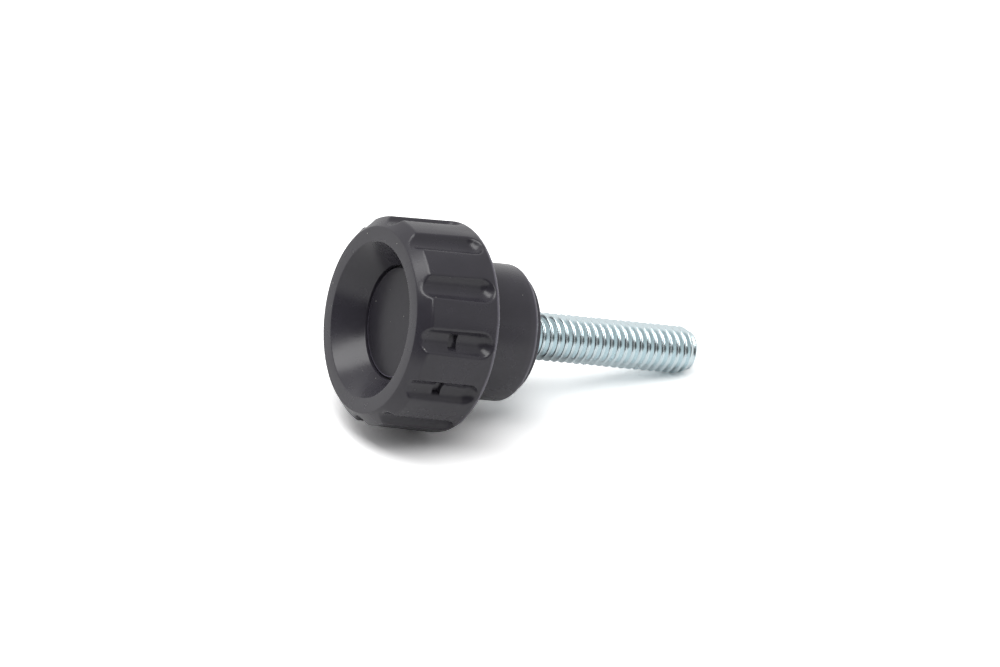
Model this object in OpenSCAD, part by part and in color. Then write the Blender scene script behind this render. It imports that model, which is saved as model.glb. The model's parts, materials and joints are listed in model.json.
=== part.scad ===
// Thumb screw: a fluted plastic knob with a captive hexagon-head screw and a disc cap.
// It lies as it comes to rest on a table, on the back edge of one land and on the screw's tip.
// Sizes are in millimetres. Depths along the screw are counted from the knob's front rim.

/* [Head] */
// Diameter over the lands of the fluted head, just behind its front chamfer
head_d = 33.2; // [28:0.1:44]
// Length of the fluted head
head_len = 14.2; // [12:0.1:24]
// Chamfer round the front of the head, at 45 degrees
front_chamfer = 1.8; // [1.4:0.05:2.6]
// Moulding draft of the lands, in degrees, by which the head widens to the back
head_draft = 1.2; // [0:0.1:2]
// Rounding of the head's back edge
rear_round = 0.9; // [0.15:0.05:1]
// How far the flat middle of each land lies below the full round
land_sag = 0.09; // [0.02:0.01:0.14]

/* [Flutes] */
// Number of flutes round the head
flute_count = 12; // [8:1:14]
// Depth of a flute at its middle
flute_depth = 1.15; // [0.5:0.05:1.3]
// Radius of a flute's round floor
flute_r = 2.2; // [1.6:0.05:2.6]
// Plain band between the flutes' ends and the head's back face
flute_band = 1.05; // [0.6:0.05:3]

/* [Cross notches] */
// Depth of the notches' middle behind the front rim
notch_s = 6.4; // [4:0.1:9]
// Width of a notch along the flute
notch_w = 1.4; // [0.4:0.05:1.8]
// Length of a notch across the flute
notch_span = 2.4; // [1.2:0.1:2.8]
// Depth of a notch below the flute's floor
notch_depth = 0.5; // [0.2:0.05:1.6]

/* [Recess] */
// Width of the flat rim between the front chamfer and the recess
rim_w = 2.36; // [1.2:0.02:3]
// Depth of the cone-shaped recess
recess_depth = 4.45; // [2:0.05:7]

/* [Cap] */
// Diameter of the round seat that takes the cap
seat_d = 18.3; // [17.2:0.1:19.4]
// How far the cap's face lies below the bottom of the cone
cap_inset = 0.15; // [0.05:0.05:1]
// Thickness of the cap
cap_t = 2; // [1.4:0.05:4]
// Width of the groove round the cap's face
groove_w = 0.35; // [0.15:0.05:0.6]
// Depth of the groove round the cap's face
groove_depth = 0.9; // [0.5:0.05:1.2]
// Rounding of the edge of the cap's face
cap_round = 0.25; // [0.05:0.05:0.45]
// Clearance between the cap's flange and its seat, on the radius
cap_clear = 0.05; // [0.02:0.01:0.15]

/* [Hub] */
// Diameter of the plain hub behind the head
hub_d = 22; // [18:0.1:26]
// Length of the hub
hub_len = 10.5; // [5:0.05:20]
// Rounding of the hub's back edge
hub_round = 0.7; // [0.2:0.05:1]
// Width of the step between the hub's side and the raised boss on its back face
boss_inset = 1.2; // [0.8:0.05:3]
// Height of the boss
boss_len = 1.05; // [0.4:0.05:3]

/* [Screw] */
// Diameter over the thread's crests
thread_d = 7.8; // [6.5:0.1:7.9]
// Diameter of the plain shank inside the knob, about the thread's pitch diameter as on a rolled thread
shank_d = 7; // [5.8:0.05:7.2]
// Length of the thread that stands out of the hub
stud_len = 33.65; // [20:0.05:80]
// Length of the chamfer on the screw's tip
tip_len = 1.8; // [0.5:0.05:3]
// Diameter of the flat end of the tip
tip_d = 6.3; // [4:0.1:6.4]
// Width of the screw's hexagon head across its flats
hex_af = 12.7; // [11:0.1:13.5]
// Height of the hexagon head
hex_h = 5.15; // [3:0.05:6]
// Air between the cap and the hexagon head
head_air = 3.2; // [0.4:0.05:4]
// Clearance round the hexagon head and the thread in the knob, on the radius
screw_clear = 0.05; // [0.02:0.01:0.2]

/* [Hidden] */
$fn = 96;

// Steps in each rounded edge of a turned outline
round_steps = 6;
// Length by which a cutting shape runs past the face that it opens
over = 1;
// Slope of the chamfer on the hexagon head, in degrees
hex_chamfer_slope = 30;

head_r = head_d / 2;
rear_r = head_r + (head_len - front_chamfer) * tan(head_draft);
rim_r = head_r - front_chamfer;
mouth_r = rim_r - rim_w;
seat_r = seat_d / 2;
hub_r = hub_d / 2;
boss_r = hub_r - boss_inset;
thread_r = thread_d / 2;
shank_r = shank_d / 2;
tip_r = tip_d / 2;
// The screw goes in from the front, so the bore passes the thread
bore_r = max(thread_r, shank_r) + screw_clear;

// Depths behind the front rim
cap_face_s = recess_depth + cap_inset;
ledge_s = cap_face_s + cap_t;
hex_top_s = ledge_s + head_air;
hex_floor_s = hex_top_s + hex_h;
hub_back_s = head_len + hub_len;
hub_face_s = hub_back_s + boss_len;
tip_s = hub_face_s + stud_len;
tip_corner_s = tip_s - tip_len;

// A flute is a round groove whose axis lies outside the head, closed by a ball at its back end
flute_axis_r = head_r - flute_depth + flute_r;
flute_end_depth = min(flute_r, flute_depth + rear_r - head_r);
flute_half_chord = sqrt(pow(flute_r, 2) - pow(flute_r - flute_end_depth, 2));
flute_ball_s = head_len - flute_band - flute_half_chord;
flute_pitch = 360 / flute_count;
// The two flutes nearest level on the -Y side have the cross notches
notched_flutes = [floor(flute_count * 3 / 4) - 1, floor(flute_count * 3 / 4)];

// The hub's rounded back edge
hub_edge = quarter(hub_r - hub_round, hub_back_s - hub_round, hub_round, 0);

// Resting pose: the back corner of the land that points down meets the table, and the screw tips over it
// until the first of the edges behind it meets the table too
land_r = rear_r - land_sag;
land_corner_s = head_len - rear_round
    + sqrt(pow(rear_round, 2) - pow(max(0, rear_round - land_sag), 2));
rest_edges = concat(hub_edge, [[boss_r, hub_face_s], [thread_r, tip_corner_s], [tip_r, tip_s]]);
tilt = min([for (edge = rest_edges) atan((land_r - edge[0]) / (edge[1] - land_corner_s))]);
rest_z = land_corner_s * sin(tilt) + land_r * cos(tilt);
low_x = -rim_r * sin(tilt);
high_x = tip_s * cos(tilt) + tip_r * sin(tilt);

// A quarter round of radius r about (x, y) that starts at the angle from
function quarter(x, y, r, from) =
    [for (i = [0 : round_steps])
        let (a = from + 90 * i / round_steps)
        [x + r * cos(a), y + r * sin(a)]];

// Direction of a flute round the screw's axis, half a step from the land that points down
function flute_angle(i) = (i + 0.5) * flute_pitch;

// Radius over the corners of a hexagon with the given width across its flats
function hex_corner_r(across) = across / 2 / cos(30);

// Lays a piece that stands on the +Z axis, front rim at the origin, in the resting pose
module lying() {
    translate([-(low_x + high_x) / 2, 0, rest_z])
        rotate([0, 90 + tilt, 0])
            children();
}

// The knob's outline turned round the screw's axis, with the recess and the cap's seat
module turned_blank() {
    rotate_extrude()
        polygon(concat(
            [[0, ledge_s], [seat_r, ledge_s], [seat_r, recess_depth], [mouth_r, 0]],
            [[rim_r, 0], [head_r, front_chamfer]],
            quarter(rear_r - rear_round, head_len - rear_round, rear_round, 0),
            [[hub_r, head_len]],
            hub_edge,
            [[boss_r, hub_back_s], [boss_r, hub_face_s], [0, hub_face_s]]
        ));
}

// The prism whose sides are the flat middles of the lands, one of them towards +X
module land_prism() {
    translate([0, 0, -over])
        linear_extrude(hub_face_s + 2 * over)
            polygon([for (i = [0 : flute_count - 1])
                land_r / cos(flute_pitch / 2) * [cos(flute_angle(i)), sin(flute_angle(i))]]);
}

// The space of one flute, towards +X
module flute() {
    translate([flute_axis_r, 0, 0]) {
        translate([0, 0, -over])
            cylinder(r = flute_r, h = flute_ball_s + over);
        translate([0, 0, flute_ball_s])
            sphere(r = flute_r);
    }
}

// The space of one cross notch in the floor of a flute, towards +X
module cross_notch() {
    translate([head_r - flute_depth - notch_depth, -notch_span / 2, notch_s - notch_w / 2])
        cube([notch_depth + flute_depth + over, notch_span, notch_w]);
}

module knob() {
    pocket_r = hex_corner_r(hex_af + 2 * screw_clear);
    color("#3b3a3f")
        lying()
            difference() {
                intersection() {
                    turned_blank();
                    land_prism();
                }
                for (i = [0 : flute_count - 1])
                    rotate([0, 0, flute_angle(i)])
                        flute();
                for (i = notched_flutes)
                    rotate([0, 0, flute_angle(i)])
                        cross_notch();
                // Hexagon pocket, entered from the cap's seat
                translate([0, 0, ledge_s - over])
                    cylinder(r = pocket_r, h = hex_floor_s - ledge_s + over, $fn = 6);
                // Bore for the screw
                translate([0, 0, hex_floor_s - over])
                    cylinder(r = bore_r, h = hub_face_s - hex_floor_s + 2 * over);
            }
}

// Disc with a rounded face edge on a wider flange that fills the seat
module cap() {
    face_r = seat_r - groove_w;
    flange_r = seat_r - cap_clear;
    color("#37363a")
        lying()
            rotate_extrude()
                polygon(concat(
                    [[0, cap_face_s]],
                    quarter(face_r - cap_round, cap_face_s + cap_round, cap_round, -90),
                    [[face_r, cap_face_s + groove_depth], [flange_r, cap_face_s + groove_depth]],
                    [[flange_r, ledge_s], [0, ledge_s]]
                ));
}

// Hexagon head with chamfered corners, plain shank, and the thread at its crest diameter
module threaded_stud() {
    flat_r = hex_af / 2;
    corner_r = hex_corner_r(hex_af);
    cone_r = corner_r + over;
    cone_s = hex_top_s + (cone_r - flat_r) * tan(hex_chamfer_slope);
    color("#c9cfd0")
        lying() {
            intersection() {
                translate([0, 0, hex_top_s])
                    cylinder(r = corner_r, h = hex_h, $fn = 6);
                rotate_extrude()
                    polygon([
                        [0, hex_top_s], [flat_r, hex_top_s], [cone_r, cone_s],
                        [cone_r, hex_floor_s], [0, hex_floor_s]
                    ]);
            }
            rotate_extrude()
                polygon([
                    [0, hex_floor_s - over], [shank_r, hex_floor_s - over], [shank_r, hub_face_s],
                    [thread_r, hub_face_s], [thread_r, tip_corner_s], [tip_r, tip_s], [0, tip_s]
                ]);
        }
}

knob();
cap();
threaded_stud();
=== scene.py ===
"""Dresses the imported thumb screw: a fluted plastic knob, its disc cap and a zinc-plated threaded stud.

Each piece is first made upright on +Z with the knob's front rim at z = 0, then laid into the frame's own
resting pose, so its object sits at the origin and its place is in its mesh.
"""

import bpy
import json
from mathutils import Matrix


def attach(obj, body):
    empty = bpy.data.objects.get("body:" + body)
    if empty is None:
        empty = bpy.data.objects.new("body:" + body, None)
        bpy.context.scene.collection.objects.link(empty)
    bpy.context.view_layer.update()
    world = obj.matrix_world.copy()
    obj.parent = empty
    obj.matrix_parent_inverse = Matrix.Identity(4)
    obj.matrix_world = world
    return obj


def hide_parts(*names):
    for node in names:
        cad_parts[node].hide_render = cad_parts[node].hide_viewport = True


bl_info = {
    "name": "Thumb Screw",
    "version": (1, 0, 0),
    "blender": (4, 5, 0),
    "location": "3D View > Sidebar > Thumb Screw",
    "description": "Makes the knob, cap and threaded stud of a thumb screw, and the stage it is shown on",
    "category": "Object",
}

import json
from math import cos, pi, radians, sin, sqrt, tan, tau

import bmesh
import bpy
import numpy as np
from bpy.props import FloatProperty, FloatVectorProperty, IntProperty, PointerProperty
from mathutils import Matrix, Vector

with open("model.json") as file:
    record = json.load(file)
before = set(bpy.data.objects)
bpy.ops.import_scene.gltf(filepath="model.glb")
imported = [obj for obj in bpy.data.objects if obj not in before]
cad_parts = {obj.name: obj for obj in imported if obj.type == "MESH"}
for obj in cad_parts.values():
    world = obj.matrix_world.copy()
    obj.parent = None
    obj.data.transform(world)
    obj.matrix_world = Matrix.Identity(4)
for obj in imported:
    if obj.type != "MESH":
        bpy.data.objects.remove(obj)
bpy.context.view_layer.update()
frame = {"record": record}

MM = 0.001
BODY = "root"
# Points nearer to each other than this are one point, in metres
MERGE = 1e-7
# A noise texture's values lie mostly between these two
NOISE_LOW, NOISE_HIGH = 0.3, 0.7

# The photograph's frame, and where the middle of the knob's front rim falls in it
PHOTO_SIZE_PX = (1000, 667)
RIM_CENTRE_PX = (369.6, 319.65)
SENSOR_WIDTH_MM = 36

MOUNTS = {mount["name"]: mount for mount in frame["record"]["mounts"]}
SCREW_AXIS = Vector(MOUNTS["thread"]["axis"]).normalized()
# Square to the screw's axis: level, and as far down as it goes
SCREW_SIDE = Vector((0, 1, 0))
SCREW_DOWN = SCREW_SIDE.cross(SCREW_AXIS)
THREAD_MIDDLE = Vector(MOUNTS["thread"]["pos_m"])
HUB_POINT = Vector(MOUNTS["hub_face"]["pos_m"])
HUB_CENTRE = THREAD_MIDDLE + SCREW_AXIS * SCREW_AXIS.dot(HUB_POINT - THREAD_MIDDLE)
THREAD_R = MOUNTS["thread"]["dims"]["r_mm"] * MM
THREAD_RUN = MOUNTS["thread"]["dims"]["length_mm"] * MM


def linear(hex_colour):
    """Linear red, green and blue of an sRGB hex colour."""
    parts = [int(hex_colour[i:i + 2], 16) / 255 for i in (1, 3, 5)]
    return tuple(c / 12.92 if c <= 0.04045 else ((c + 0.055) / 1.055) ** 2.4 for c in parts)


def length(label, what, size_mm):
    """A length that a user may change, given in millimetres."""
    return FloatProperty(name=label, description=what, default=size_mm * MM, min=0,
                         subtype="DISTANCE", unit="LENGTH", precision=5)


def angle(label, what, degrees):
    """An angle that a user may change, given in degrees."""
    return FloatProperty(name=label, description=what, default=radians(degrees), subtype="ANGLE")


def level(label, what, amount):
    """A brightness that a user may change, white being 1."""
    return FloatProperty(name=label, description=what, default=amount, min=0)


def colour(label, what, hex_colour):
    """A colour that a user may change."""
    return FloatVectorProperty(name=label, description=what, default=linear(hex_colour),
                               min=0, max=1, size=3, subtype="COLOR")


class KnobSettings(bpy.types.PropertyGroup):
    """Sizes and colour of the moulded knob."""

    head_d: length("Head diameter", "Diameter over the lands just behind the front chamfer", 33.2)
    head_len: length("Head length", "Length of the fluted head", 14.2)
    front_chamfer: length("Front chamfer", "Width of the 45 degree chamfer round the front", 1.8)
    head_draft: angle("Head draft", "Moulding draft by which the head widens to the back", 1.2)
    rear_round: length("Rear round", "Rounding of the head's back edge", 0.9)
    land_sag: length("Land sag", "How far a land's flat middle lies below the full round", 0.09)
    flute_count: IntProperty(name="Flutes", description="Number of flutes round the head",
                             default=12, min=3)
    flute_depth: length("Flute depth", "Depth of a flute at its middle", 1.15)
    flute_r: length("Flute radius", "Radius of a flute's round floor", 2.2)
    flute_band: length("Plain band", "Band between the flutes' ends and the head's back face", 1.05)
    flute_soft: length("Flute edge", "Softness of the edge between a flute and a land", 0.6)
    land_soft: length("Land edge", "Softness of the edge of a land's flat middle", 0.12)
    notch_s: length("Notch place", "Depth of the cross notches behind the front rim", 6.4)
    notch_w: length("Notch width", "Width of a cross notch along the flute", 1.4)
    notch_span: length("Notch length", "Length of a cross notch across the flute", 2.4)
    notch_depth: length("Notch depth", "Depth of a cross notch below the flute's floor", 0.5)
    notch_wall: length("Notch wall", "Width over which a notch's wall falls", 0.08)
    rim_w: length("Rim width", "Width of the flat rim round the recess", 2.36)
    recess_depth: length("Recess depth", "Depth of the cone-shaped recess", 4.45)
    chamfer_edge: length("Chamfer edge", "Rounding of the edge behind the front chamfer", 0.8)
    rim_edge: length("Rim edge", "Rounding of the edge between the front chamfer and the rim", 0.3)
    mouth_edge: length("Recess edge", "Rounding of the edge between the rim and the recess", 0.2)
    seat_edge: length("Seat edge", "Rounding of the edge between the recess and the cap's seat", 0.25)
    hub_d: length("Hub diameter", "Diameter of the plain hub", 22)
    hub_len: length("Hub length", "Length of the plain hub", 10.5)
    hub_round: length("Hub round", "Rounding of the hub's back edge", 0.7)
    boss_inset: length("Boss step", "Width of the step between the hub's side and its boss", 1.2)
    boss_len: length("Boss height", "Height of the boss on the hub's back", 1.05)
    bore_d: length("Bore diameter", "Diameter of the bore round the screw", 7.9)
    pocket_af: length("Pocket width", "Width of the hexagon pocket across its flats", 12.8)
    plastic: colour("Plastic", "Colour of the moulded knob", "#37353c")


class CapSettings(bpy.types.PropertyGroup):
    """Sizes and colour of the disc cap."""

    seat_d: length("Seat diameter", "Diameter of the round seat in the knob", 18.3)
    inset: length("Inset", "How far the cap's face lies below the bottom of the cone", 0.15)
    thickness: length("Thickness", "Thickness of the cap", 2)
    groove_w: length("Groove width", "Width of the groove round the cap's face", 0.35)
    groove_depth: length("Groove depth", "Depth of the groove round the cap's face", 0.9)
    edge_round: length("Edge round", "Rounding of the edge of the cap's face", 0.25)
    clear: length("Clearance", "Clearance between the cap's flange and its seat", 0.05)
    plastic: colour("Plastic", "Colour of the moulded cap", "#2c2a31")


class StudSettings(bpy.types.PropertyGroup):
    """Sizes and colour of the screw."""

    shank_d: length("Shank diameter", "Diameter of the plain shank in the knob", 7)
    tip_len: length("Tip length", "Length of the chamfer on the tip", 1.8)
    tip_d: length("Tip diameter", "Diameter of the flat end of the tip", 6.3)
    pitch: length("Thread pitch", "Distance from crest to crest", 25.4 / 18)
    lead_in: length("Thread lead-in", "How far inside the bore the thread begins", 0.3)
    run_out: length("Thread run-out", "Length over which the thread fades in at the hub", 1.2)
    hex_af: length("Head width", "Width of the hexagon head across its flats", 12.7)
    hex_h: length("Head height", "Height of the hexagon head", 5.15)
    head_air: length("Head air", "Air between the cap and the hexagon head", 3.2)
    zinc: colour("Zinc", "Colour of the zinc plate", "#e6f4f8")


class StageSettings(bpy.types.PropertyGroup):
    """Places and brightness of the camera, the softbox and the light tent."""

    azimuth: angle("Azimuth", "Camera's direction round the object", -26.556)
    elevation: angle("Elevation", "Camera's height over the horizon", 27.902)
    roll: angle("Roll", "Lean of the camera about its own axis", 2.386)
    focal: FloatProperty(name="Focal length", description="Focal length on a 36 mm sensor, in millimetres",
                         default=224.8, min=1, unit="CAMERA")
    distance: length("Distance", "Camera's distance from the rim's centre, along its axis", 983.4)
    key_width: length("Key width", "Width of the overhead softbox", 348)
    key_length: length("Key length", "Length of the softbox, front to back", 780)
    key_side: length("Key to the side", "How far the softbox's middle lies to the knob's side", 138)
    key_front: length("Key to the front", "How far the softbox's middle lies to the front", 174)
    key_height: length("Key height", "Height of the softbox", 600)
    key_turn: angle("Key turn", "Turn of the softbox about the vertical", 19)
    key: level("Key", "Brightness of the softbox", 3.75)
    fill: level("Fill", "Brightness of the white surroundings as a light", 0.68)
    walls: level("Walls", "Brightness of the light tent's walls as the object mirrors them", 0.86)
    far_wall: level("Far wall", "Brightness of the upper wall on the screw's side against the others", 0.62)
    opening: level("Opening", "Brightness of the light tent's open front", 0.05)
    open_azimuth: angle("Opening azimuth", "Direction of the light tent's open front", -30)
    open_elevation: angle("Opening elevation", "Height of the middle of the light tent's open front", 22)
    open_width: angle("Opening width", "Half the width of the light tent's open front", 60)
    open_height: angle("Opening height", "Half the height of the light tent's open front", 34)


class ThumbScrewSettings(bpy.types.PropertyGroup):
    """Everything that a user would change."""

    knob: PointerProperty(type=KnobSettings)
    cap: PointerProperty(type=CapSettings)
    stud: PointerProperty(type=StudSettings)
    stage: PointerProperty(type=StageSettings)


def settings():
    """The settings of the scene in use."""
    return bpy.context.scene.thumb_screw


def hub_face_s():
    """Depth of the face of the hub's boss behind the front rim."""
    knob = settings().knob
    return knob.head_len + knob.hub_len + knob.boss_len


def ledge_s():
    """Depth of the ledge that the cap sits on."""
    return settings().knob.recess_depth + settings().cap.inset + settings().cap.thickness


def rim_centre():
    """Middle of the front rim, in the frame."""
    return HUB_CENTRE - SCREW_AXIS * hub_face_s()


def lying():
    """Turns a piece made upright on +Z into the frame's resting pose, with the land at +X downwards."""
    turn = Matrix((SCREW_DOWN, SCREW_SIDE, SCREW_AXIS)).transposed().to_4x4()
    return Matrix.Translation(rim_centre()) @ turn


def toward(azimuth, elevation):
    """Direction seen from the object, where azimuth 0 is the -Y side."""
    return Vector((sin(azimuth) * cos(elevation), -cos(azimuth) * cos(elevation), sin(elevation)))


def add_node(tree, kind, inputs=None, **values):
    """Adds a node with its settings, and links or sets its inputs by name or number."""
    node = tree.nodes.new(kind)
    for name, value in values.items():
        setattr(node, name, value)
    for key, value in (inputs or {}).items():
        if isinstance(value, bpy.types.NodeSocket):
            tree.links.new(value, node.inputs[key])
        else:
            node.inputs[key].default_value = value
    return node


def outline(corners):
    """Points of an outline. A corner is (radius, depth, rounding, longest step to the next corner)."""
    arc_steps = 5
    spots = [np.array(corner[:2], float) for corner in corners]
    points = []
    for i, (_, _, rounding, step) in enumerate(corners):
        if not rounding:
            points.append((spots[i], step))
            continue
        back = spots[i - 1] - spots[i]
        on = spots[i + 1] - spots[i]
        back /= np.linalg.norm(back)
        on /= np.linalg.norm(on)
        reach = 2 * rounding / np.linalg.norm(on - back)
        tangent = sqrt(reach ** 2 - rounding ** 2)
        centre = spots[i] + (back + on) / np.linalg.norm(back + on) * reach
        start, end = spots[i] + back * tangent - centre, spots[i] + on * tangent - centre
        sweep = np.arctan2(start[0] * end[1] - start[1] * end[0], start @ end)
        for turn in np.linspace(0, sweep, arc_steps + 1):
            spin = np.array([[cos(turn), -sin(turn)], [sin(turn), cos(turn)]])
            points.append((centre + spin @ start, step if turn == sweep else rounding))
    fine = []
    for (point, step), (following, _) in zip(points, points[1:]):
        cuts = int(np.ceil(np.linalg.norm(following - point) / step))
        fine += [point + (following - point) * cut / cuts for cut in range(cuts)]
    return fine + [points[-1][0]]


def ring(segments, radius, depth, sides=0):
    """Points round +Z from the +X side on. Sides make a polygon with that radius to its flats."""
    bearing = np.arange(segments) * tau / segments
    reach = np.broadcast_to(radius, segments)
    if sides:
        reach = reach / np.cos((bearing * sides / tau % 1 - 0.5) * tau / sides)
    return np.stack([reach * np.cos(bearing), reach * np.sin(bearing), np.broadcast_to(depth, segments)], 1)


def turned_mesh(name, rows, closed=False, over_seam=None):
    """Mesh between rows of points. A step over the seam leads from row i to row over_seam[i], or to i."""
    segments = len(rows[0])
    step = np.arange(segments)
    after = (step + 1) % segments
    over_seam = np.arange(len(rows)) if over_seam is None else np.array(over_seam)
    faces = []
    for low in range(len(rows) if closed else len(rows) - 1):
        high = (low + 1) % len(rows)
        low_on, high_on = (np.where(after, row, over_seam[row]) * segments + after for row in (low, high))
        faces.append(np.stack([low * segments + step, low_on, high_on, high * segments + step], 1))
    mesh = bpy.data.meshes.new(name)
    mesh.from_pydata(np.concatenate(rows).tolist(), [], np.concatenate(faces).tolist())
    work = bmesh.new()
    work.from_mesh(mesh)
    bmesh.ops.remove_doubles(work, verts=work.verts, dist=MERGE)
    bmesh.ops.recalc_face_normals(work, faces=work.faces)
    work.to_mesh(mesh)
    work.free()
    return mesh


def new_piece(name, data):
    """A linked object at the origin."""
    piece = bpy.data.objects.new(name, data)
    bpy.context.scene.collection.objects.link(piece)
    return piece


def radius_tree(name, inputs, sums, material):
    """Geometry tree that gives each point of a turned mesh a new radius, worked out by named sums.

    A sum is (name, operation, terms). Its terms are numbers, the tree's inputs, earlier sums, or the
    point's own x, y, depth, radius and angle. The last sum is the new radius.
    """
    tree = bpy.data.node_groups.new(name, "GeometryNodeTree")
    tree.interface.new_socket("Geometry", in_out="INPUT", socket_type="NodeSocketGeometry")
    for label in inputs:
        tree.interface.new_socket(label, in_out="INPUT", socket_type="NodeSocketFloat")
    tree.interface.new_socket("Geometry", in_out="OUTPUT", socket_type="NodeSocketGeometry")
    given = add_node(tree, "NodeGroupInput")
    place = add_node(tree, "GeometryNodeInputPosition")
    split = add_node(tree, "ShaderNodeSeparateXYZ", {0: place.outputs[0]})
    known = {label: given.outputs[label] for label in inputs}
    known |= dict(zip(("x", "y", "depth"), split.outputs))
    polar = (
        ("x squared", "MULTIPLY", "x", "x"),
        ("radius squared", "MULTIPLY_ADD", "y", "y", "x squared"),
        ("radius", "SQRT", "radius squared"),
        ("angle", "ARCTAN2", "y", "x"),
    )
    for label, operation, *terms in (*polar, *sums):
        wired = {i: known.get(term, term) for i, term in enumerate(terms)}
        known[label] = add_node(tree, "ShaderNodeMath", wired, operation=operation, label=label).outputs[0]
    # A point on the axis has no radius to divide by
    over_zero = 1e-6
    divisor = add_node(tree, "ShaderNodeMath", {0: known["radius"], 1: over_zero}, operation="MAXIMUM")
    scale = add_node(tree, "ShaderNodeMath", {0: known[sums[-1][0]], 1: divisor.outputs[0]},
                     operation="DIVIDE")
    across = add_node(tree, "ShaderNodeCombineXYZ", {0: scale.outputs[0], 1: scale.outputs[0], 2: 1.0})
    moved = add_node(tree, "ShaderNodeVectorMath", {0: place.outputs[0], 1: across.outputs[0]},
                     operation="MULTIPLY")
    shaped = add_node(tree, "GeometryNodeSetPosition",
                      {"Geometry": given.outputs["Geometry"], "Position": moved.outputs[0]})
    real = add_node(tree, "GeometryNodeRealizeInstances", {0: shaped.outputs[0]})
    dressed = add_node(tree, "GeometryNodeSetMaterial", {"Geometry": real.outputs[0], "Material": material})
    add_node(tree, "NodeGroupOutput", {0: dressed.outputs[0]})
    return tree


def shape_by_tree(piece, tree, values):
    """Runs a tree on a piece with its named inputs set, and keeps the result as a plain mesh."""
    modifier = piece.modifiers.new(tree.name, "NODES")
    modifier.node_group = tree
    for item in tree.interface.items_tree:
        if item.in_out == "INPUT" and item.name in values:
            modifier[item.identifier] = values[item.name]
    shaped = piece.evaluated_get(bpy.context.evaluated_depsgraph_get())
    mesh = bpy.data.meshes.new_from_object(shaped)
    piece.modifiers.clear()
    piece.data = mesh


def finish_piece(piece, material, node, crease):
    """Lays the piece down, smooths it and puts it in place of its CAD node."""
    mesh = piece.data
    mesh.transform(lying())
    mesh.polygons.foreach_set("use_smooth", [True] * len(mesh.polygons))
    mesh.set_sharp_from_angle(angle=crease)
    mesh.materials.clear()
    mesh.materials.append(material)
    mesh.update()
    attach(piece, BODY)
    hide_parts(node)


# A flute is a round groove of radius r about an axis outside the head, at radius c, closed by a ball at its
# back. On the ray at an angle a from the flute's middle, at a depth b past the ball's middle, its floor
# lies at c cos a - sqrt(r^2 - b^2 - (c sin a)^2).
FLUTE_SUMS = (
    ("step", "DIVIDE", tau, "Flutes"),
    ("steps", "DIVIDE", "angle", "step"),
    ("in step", "FLOORED_MODULO", "steps", 1.0),
    ("from flute", "SUBTRACT", "in step", 0.5),
    ("off flute", "MULTIPLY", "from flute", "step"),
    ("sine", "SINE", "off flute"),
    ("cosine", "COSINE", "off flute"),
    ("across", "MULTIPLY", "Axis radius", "sine"),
    ("along", "MULTIPLY", "Axis radius", "cosine"),
    ("past ball", "SUBTRACT", "depth", "Ball depth"),
    ("in ball", "MAXIMUM", "past ball", 0.0),
    ("flute squared", "MULTIPLY", "Flute radius", "Flute radius"),
    ("ball squared", "MULTIPLY", "in ball", "in ball"),
    ("across squared", "MULTIPLY", "across", "across"),
    ("without ball", "SUBTRACT", "flute squared", "ball squared"),
    ("without across", "SUBTRACT", "without ball", "across squared"),
    ("chord squared", "MAXIMUM", "without across", 0.0),
    ("chord", "SQRT", "chord squared"),
    ("flute floor", "SUBTRACT", "along", "chord"),
    ("fluted", "SMOOTH_MIN", "radius", "flute floor", "Edge softness"),
    # The flat middle of each land
    ("half a step on", "ADD", "steps", 0.5),
    ("in land", "FLOORED_MODULO", "half a step on", 1.0),
    ("from land", "SUBTRACT", "in land", 0.5),
    ("off land", "MULTIPLY", "from land", "step"),
    ("land cosine", "COSINE", "off land"),
    ("flat", "DIVIDE", "Land radius", "land cosine"),
    ("landed", "SMOOTH_MIN", "fluted", "flat", "Land softness"),
    # The notches lie in the two flutes nearest level on the -Y side, at an angle of -90 degrees
    ("from side", "ADD", "angle", pi / 2),
    ("off side", "ABSOLUTE", "from side"),
    ("notched flute", "LESS_THAN", "off side", "step"),
    ("from notch", "SUBTRACT", "depth", "Notch place"),
    ("off notch", "ABSOLUTE", "from notch"),
    ("off middle", "ABSOLUTE", "across"),
    ("room along", "SUBTRACT", "Notch half width", "off notch"),
    ("room across", "SUBTRACT", "Notch half length", "off middle"),
    ("room", "MINIMUM", "room along", "room across"),
    ("ramp", "DIVIDE", "room", "Notch wall"),
    ("centred", "ADD", "ramp", 0.5),
    ("above 0", "MAXIMUM", "centred", 0.0),
    ("below 1", "MINIMUM", "above 0", 1.0),
    ("in notch", "MULTIPLY", "below 1", "notched flute"),
    ("above notch", "SUBTRACT", "landed", "Notch floor radius"),
    ("sunk", "MAXIMUM", "above notch", 0.0),
    ("cut", "MULTIPLY", "sunk", "in notch"),
    ("notched", "SUBTRACT", "landed", "cut"),
)

# A right-hand thread, in parts of its pitch: half a crest flat, a flank's length, and the depth. A quarter
# of the pitch is left for the root flat, and the flanks stand 54 degrees apart.
HALF_CREST = 1 / 16
FLANK = 5 / 16
THREAD_DEPTH = 0.6134
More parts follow.
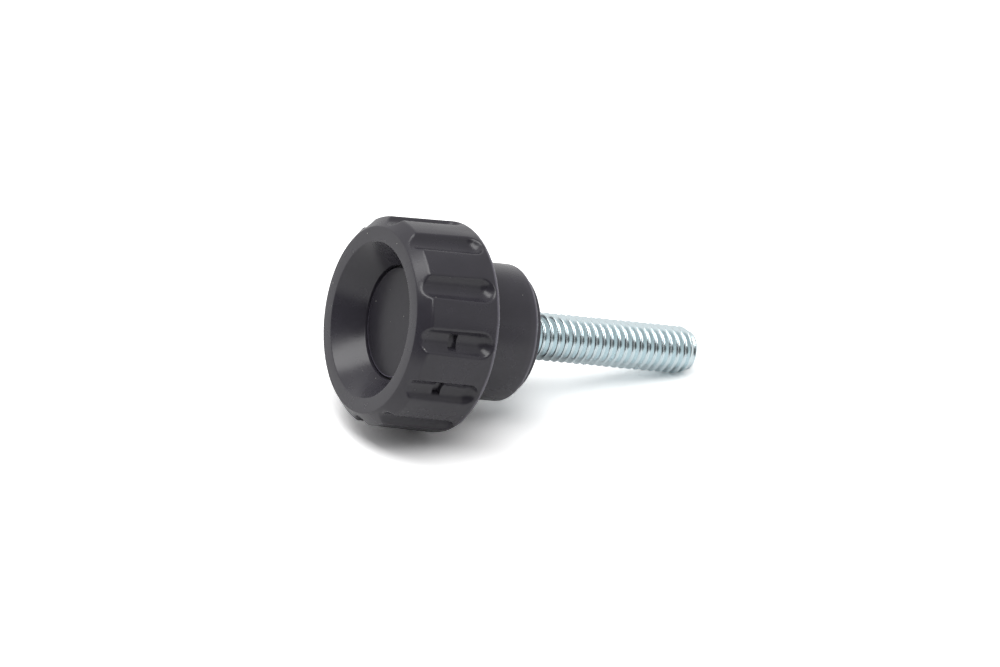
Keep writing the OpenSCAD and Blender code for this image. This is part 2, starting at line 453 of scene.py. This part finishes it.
# Softness of the corners at crest and root, in parts of the depth
CORNER_SOFT = 0.4
THREAD_SUMS = (
    ("turns", "DIVIDE", "angle", tau),
    ("pitches", "DIVIDE", "depth", "Pitch"),
    ("wound", "SUBTRACT", "pitches", "turns"),
    ("in pitch", "FLOORED_MODULO", "wound", 1.0),
    ("from crest", "SUBTRACT", "in pitch", 0.5),
    ("off crest", "ABSOLUTE", "from crest"),
    ("past flat", "SUBTRACT", "off crest", HALF_CREST),
    ("down flank", "DIVIDE", "past flat", FLANK),
    ("below crest", "SMOOTH_MAX", "down flank", 0.0, CORNER_SOFT),
    ("above root", "SMOOTH_MIN", "below crest", 1.0, CORNER_SOFT),
    ("from start", "SUBTRACT", "depth", "Start depth"),
    ("begun", "DIVIDE", "from start", "Run-out"),
    ("not before", "MAXIMUM", "begun", 0.0),
    ("full depth", "MINIMUM", "not before", 1.0),
    ("cut", "MULTIPLY", "above root", "full depth"),
    ("groove", "MULTIPLY", "cut", "Thread depth"),
    ("cut radius", "SUBTRACT", "Crest radius", "groove"),
    # Before its start the limit is lifted clear of the shank and the head
    ("before", "LESS_THAN", "depth", "Start depth"),
    ("limit", "ADD", "cut radius", "before"),
    ("threaded", "MINIMUM", "radius", "limit"),
)


def bare_tree(owner):
    """The node tree of a material or a world, emptied."""
    owner.use_nodes = True
    owner.node_tree.nodes.clear()
    return owner.node_tree


def new_material(name):
    """A material with its shader alone. Returns the material, its tree and the shader."""
    material = bpy.data.materials.new(name)
    tree = bare_tree(material)
    shader = add_node(tree, "ShaderNodeBsdfPrincipled")
    add_node(tree, "ShaderNodeOutputMaterial", {"Surface": shader.outputs[0]})
    return material, tree, shader


def moulded_polyamide(name, base, roughness, ior, grain_mm, grain_height_mm, mottle, highlight_side, highlight_gain):
    """Black polyamide, injection moulded: a satin skin that mirrors its surroundings softly, with dust.

    The rounded edges that face the given side are painted lighter by the given gain: a painted highlight.
    """
    cloud_mm = 5
    gloss_swing = 0.03
    edge_from, edge_to = 0.05, 0.2
    dust_spacing_mm = 3
    speck_radius_mm = 0.1
    dust = linear("#8f8e8a")
    material, tree, shader = new_material(name)
    coordinates = add_node(tree, "ShaderNodeTexCoord").outputs
    place = coordinates["Object"]
    # The texture of the mould, drawn as coarse as it needs to show
    grain = add_node(tree, "ShaderNodeTexNoise",
                     {"Vector": place, "Scale": 1 / (grain_mm * MM), "Detail": 3.0, "Roughness": 0.6})
    clouds = add_node(tree, "ShaderNodeTexNoise",
                      {"Vector": place, "Scale": 1 / (cloud_mm * MM), "Detail": 4.0, "Roughness": 0.55})
    tone = add_node(tree, "ShaderNodeMapRange",
                    {"Value": clouds.outputs["Fac"], "From Min": NOISE_LOW, "From Max": NOISE_HIGH,
                     "To Min": 1 - mottle, "To Max": 1 + mottle})
    # A painted highlight on the rounded edges facing the given side: there the normal is neither along that
    # side's direction nor square to it
    facing = add_node(tree, "ShaderNodeVectorMath", {0: coordinates["Normal"], 1: highlight_side},
                      operation="DOT_PRODUCT")
    turned = add_node(tree, "ShaderNodeMath", {0: 1.0, 1: facing.outputs["Value"]}, operation="SUBTRACT")
    edge = add_node(tree, "ShaderNodeMath", {0: facing.outputs["Value"], 1: turned.outputs[0]},
                    operation="MULTIPLY")
    edge_highlight = add_node(tree, "ShaderNodeMapRange",
                      {"Value": edge.outputs[0], "From Min": edge_from, "From Max": edge_to,
                       "To Min": 1.0, "To Max": highlight_gain})
    # The random mottle times the painted edge highlight
    mottle_and_highlight = add_node(tree, "ShaderNodeMath", {0: tone.outputs[0], 1: edge_highlight.outputs[0]},
                    operation="MULTIPLY")
    tint = add_node(tree, "ShaderNodeVectorMath", {0: tuple(base), "Scale": mottle_and_highlight.outputs[0]},
                    operation="SCALE")
    # A speck of dust wherever one of the scattered points happens to touch the surface
    specks = add_node(tree, "ShaderNodeTexVoronoi", {"Vector": place, "Scale": 1 / (dust_spacing_mm * MM)})
    dusty = add_node(tree, "ShaderNodeMath",
                     {0: specks.outputs["Distance"], 1: speck_radius_mm / dust_spacing_mm},
                     operation="LESS_THAN")
    skin = add_node(tree, "ShaderNodeMix",
                    {"Factor": dusty.outputs[0], "A": tint.outputs[0], "B": (*dust, 1)}, data_type="RGBA")
    gloss = add_node(tree, "ShaderNodeMapRange",
                     {"Value": clouds.outputs["Fac"], "From Min": NOISE_LOW, "From Max": NOISE_HIGH,
                      "To Min": roughness - gloss_swing, "To Max": roughness + gloss_swing})
    relief = add_node(tree, "ShaderNodeBump",
                      {"Height": grain.outputs["Fac"], "Strength": 1.0, "Distance": grain_height_mm * MM})
    tree.links.new(skin.outputs["Result"], shader.inputs["Base Color"])
    tree.links.new(gloss.outputs[0], shader.inputs["Roughness"])
    tree.links.new(relief.outputs[0], shader.inputs["Normal"])
    shader.inputs["IOR"].default_value = ior
    return material


def zinc_plate(name, base):
    """Steel with a bright blue-passivated zinc plate: a clear metal mirror, slightly clouded."""
    cloud_mm = 1.5
    dulled = [c * 0.92 for c in base]
    smoothest, roughest = 0.17, 0.29
    material, tree, shader = new_material(name)
    place = add_node(tree, "ShaderNodeTexCoord").outputs["Object"]
    clouds = add_node(tree, "ShaderNodeTexNoise",
                      {"Vector": place, "Scale": 1 / (cloud_mm * MM), "Detail": 4.0, "Roughness": 0.6})
    tone = add_node(tree, "ShaderNodeMix",
                    {"Factor": clouds.outputs["Fac"], "A": (*dulled, 1), "B": (*base, 1)}, data_type="RGBA")
    gloss = add_node(tree, "ShaderNodeMapRange",
                     {"Value": clouds.outputs["Fac"], "From Min": NOISE_LOW, "From Max": NOISE_HIGH,
                      "To Min": smoothest, "To Max": roughest})
    tree.links.new(tone.outputs["Result"], shader.inputs["Base Color"])
    tree.links.new(gloss.outputs[0], shader.inputs["Roughness"])
    shader.inputs["Metallic"].default_value = 1.0
    return material


def place_camera(look):
    """Puts the camera where the rim's centre falls on its pixel of the photograph."""
    data = bpy.data.cameras.new("camera")
    data.lens = look.focal
    data.sensor_width = SENSOR_WIDTH_MM
    data.clip_start = 0.01
    data.clip_end = 20
    camera = new_piece("camera", data)
    back = toward(look.azimuth, look.elevation)
    turn = Matrix.Rotation(look.roll, 3, back) @ (-back).to_track_quat("-Z", "Y").to_matrix()
    per_px = look.distance * data.sensor_width / data.lens / PHOTO_SIZE_PX[0]
    off = Vector(((RIM_CENTRE_PX[0] - PHOTO_SIZE_PX[0] / 2) * per_px,
                  (PHOTO_SIZE_PX[1] / 2 - RIM_CENTRE_PX[1]) * per_px, -look.distance))
    camera.matrix_world = Matrix.Translation(rim_centre() - turn @ off) @ turn.to_4x4()
    bpy.context.scene.camera = camera


def place_softbox(look):
    """An overhead softbox, a little to the knob's side and to the front."""
    data = bpy.data.lights.new("softbox", "AREA")
    data.shape = "RECTANGLE"
    data.size = look.key_width
    data.size_y = look.key_length
    # A face that glows evenly gives off pi times its brightness on each square metre
    data.energy = look.key * pi * data.size * data.size_y
    box = new_piece("softbox", data)
    box.location = (-look.key_side, -look.key_front, look.key_height)
    box.rotation_euler.z = look.key_turn


def surround(look):
    """A white light tent all round, dark at its wide open front, which the eye never sees."""
    # The opening's soft edge, as angles from its middle once its width and height are drawn to 45 degrees
    dark_within, white_beyond = radians(33), radians(62)
    # The middle of the far wall, and the cosines of the angles from it where its dimming begins and is full
    far_middle = toward(radians(90), radians(55))
    dim_from, dim_to = 0.55, 0.85
    world = bpy.data.worlds.new("light tent")
    bpy.context.scene.world = world
    tree = bare_tree(world)
    rays = add_node(tree, "ShaderNodeLightPath").outputs
    ray = add_node(tree, "ShaderNodeTexCoord").outputs["Generated"]
    # The ray in the opening's own directions
    turned = add_node(tree, "ShaderNodeMapping",
                      {"Vector": ray, "Rotation": (0, -look.open_elevation, look.open_azimuth - pi / 2),
                       "Scale": (1, tan(look.open_width), tan(look.open_height))}, vector_type="TEXTURE")
    aim = add_node(tree, "ShaderNodeVectorMath", {0: turned.outputs[0]}, operation="NORMALIZE")
    facing = add_node(tree, "ShaderNodeSeparateXYZ", {0: aim.outputs[0]})
    wall = add_node(tree, "ShaderNodeMapRange",
                    {"Value": facing.outputs["X"],
                     "From Min": cos(white_beyond), "From Max": cos(dark_within),
                     "To Min": 1.0, "To Max": look.opening}, interpolation_type="SMOOTHSTEP")
    side = add_node(tree, "ShaderNodeVectorMath", {0: ray, 1: far_middle}, operation="DOT_PRODUCT")
    dimmer = add_node(tree, "ShaderNodeMapRange",
                      {"Value": side.outputs["Value"], "From Min": dim_from, "From Max": dim_to,
                       "To Min": 1.0, "To Max": look.far_wall}, interpolation_type="SMOOTHSTEP")
    tent = add_node(tree, "ShaderNodeMath", {0: wall.outputs[0], 1: dimmer.outputs[0]},
                    operation="MULTIPLY")
    mirrored = add_node(tree, "ShaderNodeMath", {0: rays["Is Glossy Ray"], 1: rays["Is Transmission Ray"]},
                        operation="MAXIMUM")
    power = add_node(tree, "ShaderNodeMix", {0: mirrored.outputs[0], 2: look.fill, 3: look.walls},
                     data_type="FLOAT")
    lit = add_node(tree, "ShaderNodeMath", {0: power.outputs[0], 1: tent.outputs[0]}, operation="MULTIPLY")
    seen = add_node(tree, "ShaderNodeMix", {0: rays["Is Camera Ray"], 2: lit.outputs[0], 3: 1.0},
                    data_type="FLOAT")
    glow = add_node(tree, "ShaderNodeBackground", {"Color": (1, 1, 1, 1), "Strength": seen.outputs[0]})
    add_node(tree, "ShaderNodeOutputWorld", {"Surface": glow.outputs[0]})


def lay_floor():
    """White paper that keeps the shadow near the object and fades into the white surroundings."""
    # Half the paper's width, and the distances from its middle over which it fades, in metres
    half = 3.0
    fade_from, fade_to = 0.15, 0.45
    # The paper's white in bounced light, in a mirror and for the eye. For the eye it is past white, so that
    # only the deep part of the shadow shows.
    bounced_white, mirrored_white, seen_white = 0.8, 0.97, 1.8
    # How bright the faded paper is in a mirror
    mirrored_glow = 0.85
    corners = [(-half, -half, 0), (half, -half, 0), (half, half, 0), (-half, half, 0)]
    mesh = bpy.data.meshes.new("paper_sweep")
    mesh.from_pydata(corners, [], [(0, 1, 2, 3)])
    floor = new_piece("paper_sweep", mesh)
    material = bpy.data.materials.new("white paper, fully exposed")
    tree = bare_tree(material)
    rays = add_node(tree, "ShaderNodeLightPath").outputs
    mirrored = add_node(tree, "ShaderNodeMath", {0: rays["Is Glossy Ray"], 1: rays["Is Transmission Ray"]},
                        operation="MAXIMUM")
    bounced = add_node(tree, "ShaderNodeMix",
                       {0: mirrored.outputs[0], 2: bounced_white, 3: mirrored_white}, data_type="FLOAT")
    white = add_node(tree, "ShaderNodeMix",
                     {0: rays["Is Camera Ray"], 2: bounced.outputs[0], 3: seen_white}, data_type="FLOAT")
    paper = add_node(tree, "ShaderNodeBsdfDiffuse", {"Color": white.outputs[0]})
    seen = add_node(tree, "ShaderNodeMath",
                    {0: mirrored.outputs[0], 1: mirrored_glow, 2: rays["Is Camera Ray"]},
                    operation="MULTIPLY_ADD")
    glow = add_node(tree, "ShaderNodeEmission", {"Strength": seen.outputs[0]})
    place = add_node(tree, "ShaderNodeTexCoord").outputs["Object"]
    away = add_node(tree, "ShaderNodeVectorMath", {0: place}, operation="LENGTH")
    fade = add_node(tree, "ShaderNodeMapRange",
                    {"Value": away.outputs["Value"], "From Min": fade_from, "From Max": fade_to})
    both = add_node(tree, "ShaderNodeMixShader",
                    {0: fade.outputs[0], 1: paper.outputs[0], 2: glow.outputs[0]})
    add_node(tree, "ShaderNodeOutputMaterial", {"Surface": both.outputs[0]})
    mesh.materials.append(material)


class THUMBSCREW_OT_stage(bpy.types.Operator):
    """Makes the camera, the overhead softbox, the white surroundings and the floor"""

    bl_idname = "thumb_screw.stage"
    bl_label = "Make Stage"

    def execute(self, context):
        look = settings().stage
        context.scene.view_settings.view_transform = "Standard"
        place_camera(look)
        place_softbox(look)
        surround(look)
        lay_floor()
        return {"FINISHED"}


class THUMBSCREW_OT_knob(bpy.types.Operator):
    """Makes the moulded knob: fluted head, rim, recess, cap seat, hexagon pocket and hub"""

    bl_idname = "thumb_screw.knob"
    bl_label = "Make Knob"

    def execute(self, context):
        knob, cap, stud = settings().knob, settings().cap, settings().stud
        head_r = knob.head_d / 2
        slope = tan(knob.head_draft)
        rear_r = head_r + (knob.head_len - knob.front_chamfer) * slope
        rim_r = head_r - knob.front_chamfer
        hub_r = knob.hub_d / 2
        boss_r = hub_r - knob.boss_inset
        bore_r = knob.bore_d / 2
        seat_r = cap.seat_d / 2
        hub_back = hub_face_s() - knob.boss_len
        pocket_floor = ledge_s() + stud.head_air + stud.hex_h
        # Roundings of the hub's small edges, and the longest steps from ring to ring
        sharp, soft = 0.1 * MM, 0.2 * MM
        fine, coarse = 0.15 * MM, 4 * MM
        # Rings at both ends of each notch wall keep the wall straight
        walls = [knob.notch_s + side * (knob.notch_w + end * knob.notch_wall) / 2
                 for side in (-1, 1) for end in (-side, side)]
        corners = [
            (seat_r, ledge_s(), 0, coarse),
            (seat_r, knob.recess_depth, knob.seat_edge, coarse),
            (rim_r - knob.rim_w, 0, knob.mouth_edge, coarse),
            (rim_r, 0, knob.rim_edge, fine),
            (head_r, knob.front_chamfer, knob.chamfer_edge, fine),
            *[(head_r + (wall - knob.front_chamfer) * slope, wall, 0, fine) for wall in walls],
            (rear_r, knob.head_len, knob.rear_round, coarse),
            (hub_r, knob.head_len, soft, coarse),
            (hub_r, hub_back, knob.hub_round, coarse),
            (boss_r, hub_back, sharp, coarse),
            (boss_r, hub_face_s(), soft, coarse),
            (bore_r, hub_face_s(), sharp, coarse),
            (bore_r, pocket_floor, 0, coarse),
        ]
        segments = 480
        rows = [ring(segments, radius, depth) for radius, depth in outline(corners)]
        rows += [ring(segments, knob.pocket_af / 2, depth, sides=6) for depth in (pocket_floor, ledge_s())]
        piece = new_piece("knob_body", turned_mesh("knob_body", rows, closed=True))
        # Its rounded edges that face the back get a painted highlight
        plastic = moulded_polyamide(
            "moulded polyamide, satin", knob.plastic, roughness=0.26, ior=1.5, grain_mm=0.35,
            grain_height_mm=0.006, mottle=0.08, highlight_side=SCREW_AXIS, highlight_gain=3.4)
        end_depth = knob.flute_depth + rear_r - head_r
        half_chord = sqrt(knob.flute_r ** 2 - (knob.flute_r - end_depth) ** 2)
        sizes = {
            "Flutes": float(knob.flute_count),
            "Axis radius": head_r - knob.flute_depth + knob.flute_r,
            "Flute radius": knob.flute_r,
            "Ball depth": knob.head_len - knob.flute_band - half_chord,
            "Edge softness": knob.flute_soft,
            "Land radius": rear_r - knob.land_sag,
            "Land softness": knob.land_soft,
            "Notch place": knob.notch_s,
            "Notch half width": knob.notch_w / 2,
            "Notch half length": knob.notch_span / 2,
            "Notch wall": knob.notch_wall,
            "Notch floor radius": head_r - knob.flute_depth - knob.notch_depth,
        }
        shape_by_tree(piece, radius_tree("Flutes", sizes, FLUTE_SUMS, plastic), sizes)
        finish_piece(piece, plastic, "knob", crease=radians(60))
        return {"FINISHED"}


class THUMBSCREW_OT_cap(bpy.types.Operator):
    """Makes the disc cap that is pressed into the bottom of the recess"""

    bl_idname = "thumb_screw.cap"
    bl_label = "Make Cap"

    def execute(self, context):
        cap = settings().cap
        face_s = settings().knob.recess_depth + cap.inset
        face_r = cap.seat_d / 2 - cap.groove_w
        flange_r = cap.seat_d / 2 - cap.clear
        step = 1 * MM
        corners = [
            (0, face_s, 0, step),
            (face_r, face_s, cap.edge_round, step),
            (face_r, face_s + cap.groove_depth, 0, step),
            (flange_r, face_s + cap.groove_depth, 0, step),
            (flange_r, ledge_s(), 0, step),
            (0, ledge_s(), 0, step),
        ]
        segments = 192
        rows = [ring(segments, radius, depth) for radius, depth in outline(corners)]
        piece = new_piece("disc_cap", turned_mesh("disc_cap", rows))
        # Its edge gets a painted highlight at the lower left, seen from the front
        highlight_turn = radians(30)
        low_left = SCREW_SIDE * sin(highlight_turn) + SCREW_DOWN * cos(highlight_turn)
        # Its fine texture mirrors less than a plain skin, so its IOR is below the 1.53 that is usual
        plastic = moulded_polyamide(
            "moulded polyamide, matte", cap.plastic, roughness=0.22, ior=1.34, grain_mm=0.3,
            grain_height_mm=0.004, mottle=0.15, highlight_side=low_left, highlight_gain=9)
        finish_piece(piece, plastic, "cap", crease=radians(35))
        return {"FINISHED"}


class THUMBSCREW_OT_stud(bpy.types.Operator):
    """Makes the zinc-plated screw: hexagon head, plain shank and right-hand thread"""

    bl_idname = "thumb_screw.stud"
    bl_label = "Make Stud"

    def execute(self, context):
        stud = settings().stud
        head_top = ledge_s() + stud.head_air
        head_floor = head_top + stud.hex_h
        flat_r, shank_r, tip_r = stud.hex_af / 2, stud.shank_d / 2, stud.tip_d / 2
        # The chamfer that leads from the head's round face to its hexagon
        face_r, chamfer_len = 0.97 * flat_r, 0.4 * MM
        corner_s = hub_face_s() + THREAD_RUN
        tip_s = corner_s + stud.tip_len
        start_s = hub_face_s() - stud.lead_in
        segments, per_pitch = 128, 24
        rows = [ring(segments, radius, head_top) for radius in (0, face_r)]
        rows += [ring(segments, flat_r, depth, sides=6) for depth in (head_top + chamfer_len, head_floor)]
        rows += [ring(segments, shank_r, depth) for depth in (head_floor, start_s)]
        # Rows that wind with the thread, so that its crests run along them
        plain = len(rows)
        turn = np.arange(segments) / segments
        wound = int(np.ceil(per_pitch * ((tip_s - start_s) / stud.pitch + 1)))
        for row in range(wound + 1):
            depth = np.clip(start_s + (row / per_pitch - 1 + turn) * stud.pitch, start_s, tip_s)
            rows.append(ring(segments, np.interp(depth, (corner_s, tip_s), (THREAD_R, tip_r)), depth))
        over_seam = [*range(plain), *[plain + min(row + per_pitch, wound) for row in range(wound + 1)],
                     len(rows)]
        rows.append(ring(segments, 0, tip_s))
        piece = new_piece("threaded_screw", turned_mesh("threaded_screw", rows, over_seam=over_seam))
        zinc = zinc_plate("zinc-plated steel, bright", stud.zinc)
        sizes = {
            "Pitch": stud.pitch,
            "Crest radius": THREAD_R,
            "Thread depth": THREAD_DEPTH * stud.pitch,
            "Start depth": start_s,
            "Run-out": stud.run_out,
        }
        shape_by_tree(piece, radius_tree("Thread", sizes, THREAD_SUMS, zinc), sizes)
        finish_piece(piece, zinc, "threaded_stud", crease=radians(80))
        return {"FINISHED"}


class THUMBSCREW_PT_panel(bpy.types.Panel):
    """Lists the settings and the operators"""

    bl_idname = "THUMBSCREW_PT_panel"
    bl_label = "Thumb Screw"
    bl_space_type = "VIEW_3D"
    bl_region_type = "UI"
    bl_category = "Thumb Screw"

    def draw(self, context):
        for name in ("stage", "knob", "cap", "stud"):
            box = self.layout.box()
            box.operator(f"thumb_screw.{name}")
            group = getattr(settings(), name)
            for key in group.__annotations__:
                box.prop(group, key)


CLASSES = (KnobSettings, CapSettings, StudSettings, StageSettings, ThumbScrewSettings, THUMBSCREW_OT_stage,
           THUMBSCREW_OT_knob, THUMBSCREW_OT_cap, THUMBSCREW_OT_stud, THUMBSCREW_PT_panel)


def register():
    for cls in CLASSES:
        bpy.utils.register_class(cls)
    bpy.types.Scene.thumb_screw = PointerProperty(type=ThumbScrewSettings)


def unregister():
    del bpy.types.Scene.thumb_screw
    for cls in reversed(CLASSES):
        bpy.utils.unregister_class(cls)


def main():
    register()
    bpy.ops.thumb_screw.stage()
    bpy.ops.thumb_screw.knob()
    bpy.ops.thumb_screw.cap()
    bpy.ops.thumb_screw.stud()


if __name__ == "__main__":
    main()
